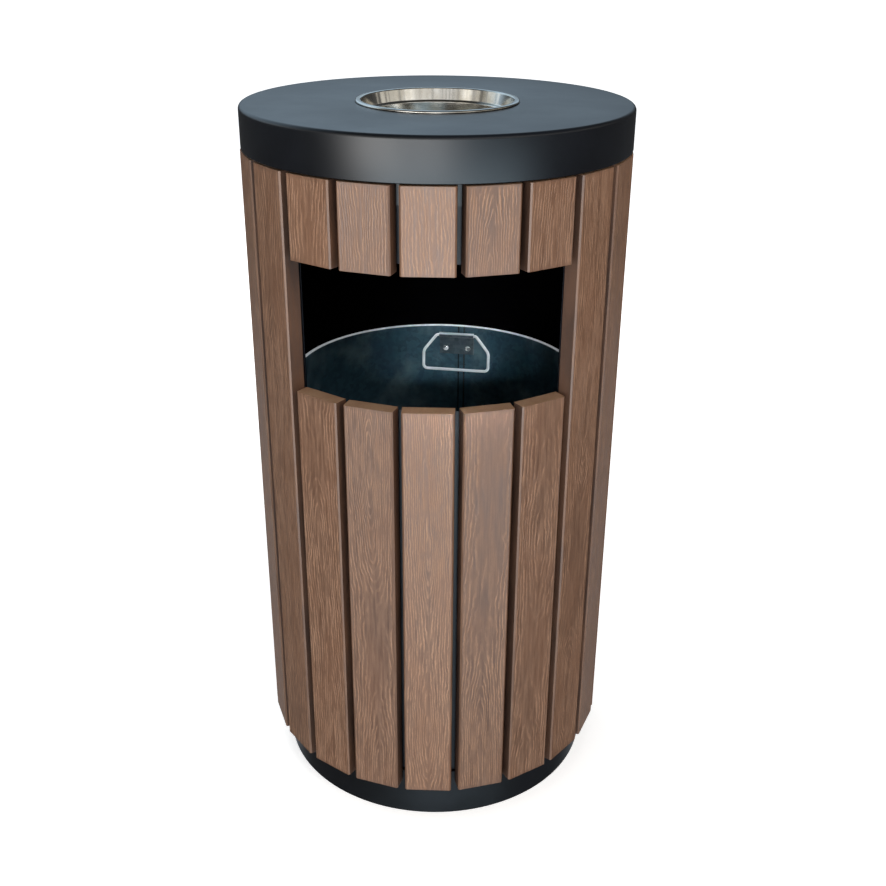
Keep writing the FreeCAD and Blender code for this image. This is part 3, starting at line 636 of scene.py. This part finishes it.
def make_bowl(material):
    """The ashtray bowl: folded rim, leaning wall, shoulder and well."""
    low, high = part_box("ashtray_bowl")
    rim = high.x
    top = high.z
    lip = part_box("lid_cap")[1].z + REST_GAP
    shoulder = top - BOWL_SHOULDER_DEPTH
    foot = top - BOWL_WELL_DEPTH
    floor = low.z + BOWL_SHEET
    make_turned("ashtray_bowl", [
        (0, floor, 0),
        (BOWL_FLOOR, floor, BOWL_FLOOR_BEND),
        (BOWL_WELL_FOOT, foot, BOWL_WELL_BEND),
        (BOWL_WELL, shoulder, BOWL_PRESS),
        (BOWL_WALL_FOOT, shoulder, BOWL_PRESS),
        (BOWL_THROAT, top, BOWL_PRESS),
        (rim, top, BOWL_RIM_ROUND),
        (rim, lip, BOWL_LIP_EDGE),
        (rim - BOWL_SHEET, lip, BOWL_LIP_EDGE),
        (rim - BOWL_SHEET, top - BOWL_SHEET, BOWL_FOLD),
        (BOWL_THROAT + BOWL_SHEET, top - BOWL_SHEET, BOWL_PRESS_UNDER),
        (BOWL_WALL_FOOT + BOWL_SHEET, shoulder - BOWL_SHEET, BOWL_PRESS_UNDER),
        (BOWL_WELL + BOWL_SHEET, shoulder - BOWL_SHEET, BOWL_FOLD),
        (BOWL_WELL_FOOT + BOWL_SHEET, foot - BOWL_SHEET / 2, BOWL_WELL_BEND),
        (BOWL_FLOOR + BOWL_SHEET / 2, low.z, BOWL_FLOOR_BEND),
        (0, low.z, 0),
    ], "ashtray", material)


# ---------------------------------------------------------------- studio

FLOOR_RADIUS = 30.0            # metres, with the backdrop round its edge
FLOOR_SIDES = 96
FLOOR_GAP = 0.0004             # between the floor and the bin's underside
GLOW_NEAR = (0.5, 0.6)         # the floor's own glow: metres off the bin's axis, and strength
GLOW_FAR = (2.2, 0.92)
BACKDROP_HEIGHT = 60.0
STUDIO_DIM = 0.06              # brightness of the studio outside its shining patches
LAMP_TARGET = Vector((0, 0, 0.4))
BEAM_FROM = Vector((0.12, -1.25, 0.86))
BEAM_TO = Vector((0.02, 0.157, 0.462))
BEAM_SIZE = 0.08
BEAM_POWER = 0.058             # watts
BEAM_SPREAD = 9.5              # degrees
BEAM_TINT = (0.93, 0.97, 1.0)

# name, place, size, power and colour of the fill lamps, which give soft light and no reflections
SOFT_LAMPS = (
    ("key_fill", (1.1, -2.0, 1.9), 1.2, 26.0, (1.0, 0.96, 0.92)),
    ("top_fill", (-0.2, -0.3, 2.8), 1.6, 16.0, (1.0, 0.98, 0.95)),
    ("back_fill", (-1.2, 2.2, 1.6), 1.6, 26.0, (1.0, 0.97, 0.94)),
)

# patches of the studio that shine: azimuth (0 in front, 90 at +X), how far round from it the patch
# is full and where it ends, the four heights at which it begins, is full, fades and ends, all in
# degrees; then its strength, its colour, and its streaks as (scale, darkest, brightest)
SHINING_PATCHES = (
    (-18, (6, 42), (-20, -10, 4, 13), 6.0, (1.0, 0.99, 0.98), (8.0, 0.55, 1.25)),
    (0, (30, 75), (8, 13, 32, 50), 0.95, (1.0, 0.98, 0.94), (14.0, 0.3, 1.6)),
    (9, (20, 58), (-38, -20, -15, -10), 5.2, (0.68, 0.88, 1.0), None),
    (80, (20, 50), (8, 12, 20, 30), 0.7, (1.0, 0.94, 0.82), (10.0, 0.1, 1.8)),
    (280, (20, 50), (8, 12, 20, 30), 0.7, (1.0, 0.94, 0.82), (11.0, 0.1, 1.8)),
    (180, (30, 62), (-60, -45, -22, -14), 0.35, (0.80, 0.90, 1.0), None),
    (215, (25, 70), (3, 14, 35, 60), 0.92, (0.60, 0.81, 1.0), None),
)


def floor_ring(height):
    """Points round the edge of the studio floor."""
    turns = [2 * math.pi * side / FLOOR_SIDES for side in range(FLOOR_SIDES)]
    return [(FLOOR_RADIUS * math.cos(turn), FLOOR_RADIUS * math.sin(turn), height) for turn in turns]


def studio_piece(name, points, faces, material):
    """A piece of the studio, which nothing reflects."""
    mesh = bpy.data.meshes.new(name)
    mesh.from_pydata(points, [], faces)
    mesh.materials.append(material)
    piece = bpy.data.objects.new(name, mesh)
    bpy.context.scene.collection.objects.link(piece)
    piece.visible_glossy = False
    return piece


def make_floor():
    """A plain pale floor that shines a little, and less near the bin."""
    material, tree, shader = new_material("studio_floor")
    tint = noise_at(tree, stretched(tree, (1, 1, 1)), 3, detail=2)
    colour = blend_colours(tree, tint, (0.86, 0.86, 0.86, 1), (0.88, 0.88, 0.88, 1))
    tree.links.new(colour, shader.inputs["Base Color"])
    shader.inputs["Roughness"].default_value = 0.95
    shader.inputs["Specular IOR Level"].default_value = 0.0
    shader.inputs["Emission Color"].default_value = (1, 1, 1, 1)
    glow = spread(tree, off_axis(tree), GLOW_NEAR[0], GLOW_FAR[0], GLOW_NEAR[1], GLOW_FAR[1])
    tree.links.new(glow, shader.inputs["Emission Strength"])
    floor = studio_piece("studio_floor", floor_ring(0), [tuple(range(FLOOR_SIDES))], material)
    floor.location.z = -FLOOR_GAP


def make_backdrop():
    """A white wall round the floor, which only the camera sees."""
    material, _, shader = new_material("studio_backdrop")
    shader.inputs["Base Color"].default_value = (0, 0, 0, 1)
    shader.inputs["Emission Color"].default_value = (1, 1, 1, 1)
    shader.inputs["Emission Strength"].default_value = 1.0
    faces = []
    for side in range(FLOOR_SIDES):
        after = (side + 1) % FLOOR_SIDES
        faces.append((side, after, after + FLOOR_SIDES, side + FLOOR_SIDES))
    points = floor_ring(0) + floor_ring(BACKDROP_HEIGHT)
    backdrop = studio_piece("studio_backdrop", points, faces, material)
    backdrop.visible_diffuse = False
    backdrop.visible_transmission = False
    backdrop.visible_shadow = False


def sine(degrees):
    """The sine of an angle in degrees."""
    return math.sin(math.radians(degrees))


def cosine(degrees):
    """The cosine of an angle in degrees."""
    return math.cos(math.radians(degrees))


def patch_mask(tree, level, rise, azimuth, reach, heights):
    """1 inside a patch of the studio, fading out round it.

    level is the direction looked in, turned level, and rise is the sine of its height.
    """
    full, end = reach
    lowest, low, high, highest = heights
    towards = vector_node(tree, "DOT_PRODUCT", level, (sine(azimuth), -cosine(azimuth), 0))["Value"]
    around = spread(tree, towards, cosine(end), cosine(full))
    above = spread(tree, rise, sine(lowest), sine(low))
    below = spread(tree, rise, sine(high), sine(highest), 1.0, 0.0)
    return times(tree, times(tree, around, above), below)


def make_world():
    """The studio that the bin reflects: a wide soft box in front, dimmer sides and a cool back."""
    world = bpy.data.worlds.new("studio")
    bpy.context.scene.world = world
    world.use_nodes = True
    tree = world.node_tree
    tree.nodes.clear()
    output = tree.nodes.new("ShaderNodeOutputWorld")
    background = tree.nodes.new("ShaderNodeBackground")
    tree.links.new(background.outputs["Background"], output.inputs["Surface"])
    direction = tree.nodes.new("ShaderNodeTexCoord").outputs["Generated"]
    rise = parts_of(tree, direction)["Z"]
    flat = vector_node(tree, "MULTIPLY", direction, (1, 1, 0))["Vector"]
    level = vector_node(tree, "NORMALIZE", flat)["Vector"]

    colour = (STUDIO_DIM, STUDIO_DIM, STUDIO_DIM, 1)
    for azimuth, reach, heights, power, tint, streaks in SHINING_PATCHES:
        shine = patch_mask(tree, level, rise, azimuth, reach, heights)
        if streaks:
            scale, darkest, brightest = streaks
            upright = noise_at(tree, level, scale, detail=3, roughness=0.6)
            shine = times(tree, shine, spread(tree, upright, 0.38, 0.62, darkest, brightest))
        bright = tuple(power * part for part in tint) + (1,)
        patch = blend_colours(tree, shine, (0, 0, 0, 1), bright)
        colour = blend_colours(tree, 1.0, colour, patch, "ADD")
    tree.links.new(colour, background.inputs["Color"])


def make_lamp(name, place, target, size, power, tint, beam_angle=180):
    """A round lamp that the camera doesn't see, with the angle of its beam in degrees."""
    data = bpy.data.lights.new(name, "AREA")
    data.shape = "DISK"
    data.size = size
    data.energy = power
    data.spread = math.radians(beam_angle)
    data.color = tint
    lamp = bpy.data.objects.new(name, data)
    bpy.context.scene.collection.objects.link(lamp)
    lamp.location = place
    lamp.rotation_euler = (target - Vector(place)).to_track_quat("-Z", "Y").to_euler()
    lamp.visible_camera = False
    return lamp


def make_lamps():
    """Soft fill lamps round the bin, and a weak beam through the window onto the rear handle."""
    for name, place, size, power, tint in SOFT_LAMPS:
        lamp = make_lamp(name, place, LAMP_TARGET, size, power, tint)
        lamp.visible_glossy = False
    make_lamp("window_beam", BEAM_FROM, BEAM_TO, BEAM_SIZE, BEAM_POWER, BEAM_TINT, BEAM_SPREAD)


# ---------------------------------------------------------------- the scene

make_camera()
bpy.context.scene.view_settings.view_transform = "Standard"

planks = composite("plank", rgb(170, 131, 102), rgb(84, 56, 39), roughness=0.40)
plank_ends = composite("plank_end", rgb(186, 156, 128), rgb(146, 114, 88), roughness=0.7)
# painted shade: the planks' side faces are a darker copy of the board, for the shade in the gaps between
# planks
shaded_plank_sides = composite("plank_side", rgb(98, 68, 50), rgb(58, 37, 25), roughness=0.7)

coat = powder_coat("powder_coat", rgb(10, 12, 16), rgb(15, 18, 24), roughness=0.31, gloss=0.5)[0]
assign(coat, "lid_cap", "lid_locating_ring", "base_band", "upper_band", "base_plate", "liner_guides")
shell_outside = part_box("shell")[1].x
assign(shell_coat(shell_outside - SHELL_SHEET / 2), "shell")

steel = polished_steel()
assign(steel, "ashtray_bowl")
liner = galvanised("galvanised", rgb(42, 66, 80), rgb(53, 82, 96), rgb(118, 140, 150), roughness=0.36)
assign(liner, "liner_wall", "liner_floor", "liner_lock_seam")
bracket = galvanised("galvanised_bracket", rgb(54, 66, 74), rgb(72, 84, 92), rgb(108, 118, 124),
                     roughness=0.4, highlight_above=CURL_CROWN)
assign(bracket, "handle_bracket_rear", "handle_bracket_front")

# the rim wire and the handles glow a little, as painted highlights
wire = bright_zinc("rim_wire", rgb(238, 240, 242), rgb(205, 208, 212),
                   roughness=0.22, metallic=0.15, glow=0.20)
assign(wire, "liner_rim_bead")
handle = bright_zinc("handle_zinc", rgb(240, 242, 244), rgb(215, 218, 221),
                     roughness=0.16, metallic=0.5, glow=0.15)
assign(handle, "handle_rear", "handle_front")
rivet = bright_zinc("rivet_zinc", rgb(205, 208, 211), rgb(165, 168, 172), roughness=0.28, metallic=0.8)
assign(rivet, "handle_rivets_rear", "handle_rivets_front")
screw = bright_zinc("screw_zinc", rgb(190, 193, 196), rgb(150, 152, 156), roughness=0.3, metallic=0.9)
assign(screw, "slat_screws_base", "slat_screws_middle", "slat_screws_window", "slat_screws_top")
assign(screw, "slat_spacers")

make_planks((planks, plank_ends, shaded_plank_sides))
make_lid(coat)
make_bowl(steel)
make_floor()
make_backdrop()
make_world()
make_lamps()
